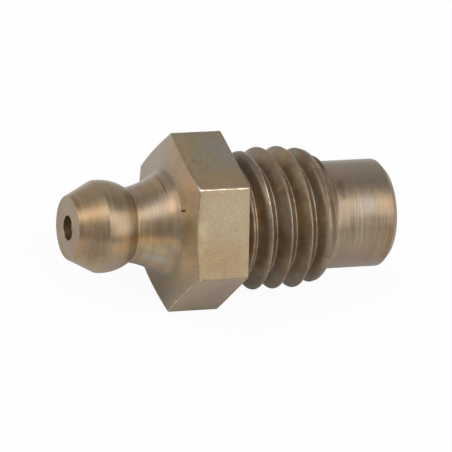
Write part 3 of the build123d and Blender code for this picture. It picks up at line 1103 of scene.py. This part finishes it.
def threaded_plating(finishes):
    """Darker plating in the thread, patchy and dull on its flanks, burnished along its crests, with
    painted highlight lines along its crests and roots.
    """
    material, at = body_finish("threaded_plating")
    nodes = at.nodes
    marks = nodes.cloud(nodes.stretched(at.phase, 1, 1, 1.5), 5.0, 3, 0.6)
    patches = nodes.cloud(at.place, 0.8, 3)
    redder = nodes.cloud(nodes.stretched(at.place, 0.6, 1.3, 1.3), 0.9, 3)
    far_flank = nodes.step(at.lean, -0.3, 0.3)
    olive = nodes.step(patches, 0.48, 0.66) * 0.45
    slate = nodes.step(patches, 0.5, 0.32) * 0.4
    russet = nodes.step(redder, 0.42, 0.6) * (0.55 + far_flank * 0.2)
    colour = nodes.blend(olive, finishes.thread_plating, finishes.olive_plating)
    colour = nodes.blend(slate, colour, finishes.slate_plating)
    colour = stained_and_lit(at, finishes, nodes.blend(russet, colour, finishes.russet_plating))
    mottle = nodes.cloud(at.place, 2.2, 4, 0.65)
    tone = 0.5 + marks * 0.32 + patches * 0.26 + mottle * 0.32 + far_flank * 0.12
    colour = nodes.shaded(colour, tone)
    colour = nodes.blend(pits(at, 0.24, 0.15) * 0.4, colour, finishes.deposit)
    dashes = nodes.step(nodes.cloud(nodes.stretched(at.place, 2, 1, 1), 2.6, 4, 0.75), 0.42, 0.6)
    crest = nodes.step(at.crest, 0.88, 0.96) * nodes.step(at.lean, 0.0, 0.12)
    root = nodes.step(at.crest, -0.975, -0.995)
    # Painted highlights: the lines along the crests and roots are strongest on the top of the thread,
    # where the light falls.
    lit_from_above = nodes.step(nodes.parts(at.place)[2], -0.5, 2.5)
    full = 0.4 + nodes.step(at.x, *FIRST_TURN_START) * 0.6
    whole = full * (1 - nodes.step(at.x, *THREAD_LINES_END)) * (0.4 + lit_from_above * 0.6)
    highlight_lines = (crest * (0.25 + dashes * 0.75) + root * (0.1 + (1 - dashes) * 0.5)) * whole
    # Colour of the crests' and roots' burnish and painted highlight.
    burnish_and_highlight = [
        (edge + gold * 1.8) / 2 for edge, gold in zip(finishes.bare_edge_and_highlight, finishes.gold_plating)
    ]
    colour = nodes.blend(highlight_lines * 0.6, colour, burnish_and_highlight)
    last_turn = nodes.step(at.x, *LAST_TURN_START)
    roughness = finishes.thread_roughness + marks * 0.1 - 0.05 - highlight_lines * 0.25 + last_turn * 0.12
    height = marks * 0.003 + patches * 0.006
    nodes.metal(colour, roughness, nodes.relief(height), film=finishes.film)
    return material


def bored_plating(finishes):
    """Thin dull plating inside the grease way, with the drill's marks."""
    material, at = body_finish("bored_plating")
    nodes = at.nodes
    lines = nodes.cloud(nodes.stretched(at.wound, 0.4, 0.4, 5), 1.0, 3, 0.6)
    colour = nodes.shaded(finishes.bore_plating, 0.7 + lines * 0.6)
    nodes.metal(colour, 0.42 + lines * 0.2, nodes.relief(lines * 0.01))
    return material


def ball_steel(finishes):
    """Bearing steel, dulled by a film of grease."""
    material, at = body_finish("ball_steel")
    nodes = at.nodes
    wear = nodes.cloud(at.place, 3.0, 4, 0.6)
    colour = nodes.shaded(finishes.ball_steel, 0.9 + wear * 0.2)
    nodes.metal(colour, 0.24 + wear * 0.16, nodes.relief(wear * 0.0006))
    return material


def spring_steel(finishes):
    """Drawn wire, with die lines along it."""
    valve = bpy.context.scene.nipple_valve
    material, at = new_finish("spring_steel", valve.coil_pitch, valve_places(valve).coil_start)
    nodes = at.nodes
    drawn = nodes.cloud(nodes.stretched(at.phase, 0.6, 0.6, 8), 2.0, 3, 0.6)
    colour = nodes.shaded(finishes.spring_steel, 0.8 + drawn * 0.4)
    nodes.metal(colour, 0.22 + drawn * 0.15, nodes.relief(drawn * 0.002))
    return material


# --- Stage ---------------------------------------------------------------------------------------


def shown_rays(nodes):
    """1 for rays that show the background itself: those from the camera and off or through gloss."""
    path = nodes.add("LightPath").socket.node.outputs
    seen = [Flow(nodes.tree, path[f"Is {ray} Ray"]) for ray in ("Camera", "Glossy", "Transmission")]
    return seen[0], seen[1] + seen[2]


def floor_material(stage):
    """A pale floor that shows as near white and keeps a soft shadow."""
    material, nodes = new_material("pale_floor")
    camera, gloss = shown_rays(nodes)
    shader = nodes.add(
        "MixShader",
        sockets={
            "Fac": nodes.add(
                "Math",
                {"operation": "ADD", "use_clamp": True},
                {"Value": camera * stage.floor_glow, "Value_001": gloss * stage.floor_mirrored},
            ),
            "Shader": nodes.add("BsdfDiffuse", sockets={"Color": stage.floor_colour}),
            "Shader_001": nodes.add("Emission", sockets={"Color": (1, 1, 1), "Strength": 1.0}),
        },
    )
    nodes.add("OutputMaterial", sockets={"Surface": shader})
    return material


# The backdrop's soft borders, as parts of a direction: its lower border behind the nipple, and its top.
BACKDROP_START, BACKDROP_TOP = (0.14, 0.59), (0.61, 1.0)

# Each softbox's name, its direction from the nipple, its width and height, and its light's setting.
SOFTBOXES = (
    ("left_softbox", (-0.884, 0.109, 0.454), 0.34, 0.48, "left_light"),
    ("right_softbox", (0.548, -0.609, 0.574), 0.36, 0.43, "right_light"),
    ("top_softbox", (-0.265, -0.265, 0.927), 0.4, 0.2, "top_light"),
)
SOFTBOX_DISTANCE = 0.45
SENSOR_WIDTH = 36.0  # in millimetres, as Blender counts it


def light_room(world, stage):
    """A dim room with a white backdrop behind the nipple. Camera rays see the backdrop everywhere."""
    nodes = Nodes(world.node_tree)
    _, behind, height = nodes.parts(nodes.add("TexCoord", output="Generated"))
    backdrop = nodes.step(behind, *BACKDROP_START) * (1 - nodes.step(height, *BACKDROP_TOP))
    camera, gloss = shown_rays(nodes)
    light = stage.room_light + backdrop * (stage.backdrop_light - stage.room_light)
    plain = camera + gloss * backdrop * stage.backdrop_mirrored
    shader = nodes.add("Background", sockets={"Strength": plain + (1 - plain) * light})
    nodes.add("OutputWorld", sockets={"Surface": shader})


def hang_softbox(name, direction, width, height, brightness):
    """A rectangular softbox that faces the nipple from a direction. A brightness of 1 is white."""
    lamp = bpy.data.lights.new(name, "AREA")
    lamp.shape = "RECTANGLE"
    lamp.size, lamp.size_y = width, height
    lamp.energy = brightness * pi * width * height
    softbox = linked(name, lamp)
    towards = Vector(direction).normalized()
    softbox.location = towards * SOFTBOX_DISTANCE
    softbox.rotation_euler = towards.to_track_quat("Z", "Y").to_euler()
    softbox.visible_camera = False


class NIPPLE_OT_set_stage(bpy.types.Operator):
    """Set the floor, the lights and the camera"""

    bl_idname = "nipple.set_stage"
    bl_label = "Set the stage"

    def execute(self, context):
        scene = context.scene
        stage = scene.nipple_stage
        half = stage.floor_width / 2
        mesh = bpy.data.meshes.new("floor")
        corners = ((-half, -half), (half, -half), (half, half), (-half, half))
        mesh.from_pydata([(*corner, GROUND) for corner in corners], [], [(0, 1, 2, 3)])
        mesh.materials.append(floor_material(stage))
        floor = linked("floor", mesh)

        scene.world = bpy.data.worlds.new("studio")
        scene.world.use_nodes = True
        light_room(scene.world, stage)
        for name, direction, width, height, light in SOFTBOXES:
            hang_softbox(name, direction, width, height, getattr(stage, light))

        turn = (
            Matrix.Rotation(stage.azimuth, 4, "Z")
            @ Matrix.Rotation(pi / 2 - stage.elevation, 4, "X")
            @ Matrix.Rotation(stage.roll, 4, "Z")
        )
        lens = bpy.data.cameras.new("camera")
        lens.sensor_width = SENSOR_WIDTH
        lens.lens = SENSOR_WIDTH * stage.distance / stage.frame_width
        lens.clip_start, lens.clip_end = 0.01, 10.0
        camera = linked("camera", lens)
        aim = turn @ Vector((stage.aim_right, -stage.aim_down, stage.distance))
        camera.matrix_world = Matrix.Translation(Vector((stage.middle, 0, 0)) + aim) @ turn
        scene.camera = camera
        scene.view_settings.view_transform = "Standard"
        return {"FINISHED"}


class NIPPLE_PT_panel(bpy.types.Panel):
    """Lists the nipple's steps and its sizes"""

    bl_idname = "NIPPLE_PT_panel"
    bl_label = "Grease nipple"
    bl_space_type = "VIEW_3D"
    bl_region_type = "UI"
    bl_category = "Grease nipple"

    def draw(self, context):
        for step in STEPS:
            self.layout.operator(step.bl_idname)
        for name, group in GROUPS.items():
            box = self.layout.box()
            box.label(text=group.__doc__)
            for entry in group.__annotations__:
                box.prop(getattr(context.scene, name), entry)


GROUPS = {
    "nipple_head": HeadSizes,
    "nipple_hexagon": HexagonSizes,
    "nipple_thread": ThreadSizes,
    "nipple_valve": ValveSizes,
    "nipple_finishes": Finishes,
    "nipple_stage": StageSettings,
}
STEPS = (NIPPLE_OT_turn_body, NIPPLE_OT_finish_ball, NIPPLE_OT_wind_spring, NIPPLE_OT_set_stage)


def register():
    """Adds the settings, the steps and the panel."""
    for group in (*GROUPS.values(), *STEPS, NIPPLE_PT_panel):
        bpy.utils.register_class(group)
    for name, group in GROUPS.items():
        setattr(bpy.types.Scene, name, PointerProperty(type=group))


def unregister():
    """Takes them away again."""
    for name in GROUPS:
        delattr(bpy.types.Scene, name)
    for group in reversed((*GROUPS.values(), *STEPS, NIPPLE_PT_panel)):
        bpy.utils.unregister_class(group)


def main():
    """Makes the nipple and its stage."""
    register()
    bpy.ops.nipple.turn_body()
    bpy.ops.nipple.finish_ball()
    bpy.ops.nipple.wind_spring()
    bpy.ops.nipple.set_stage()


if __name__ == "__main__":
    main()
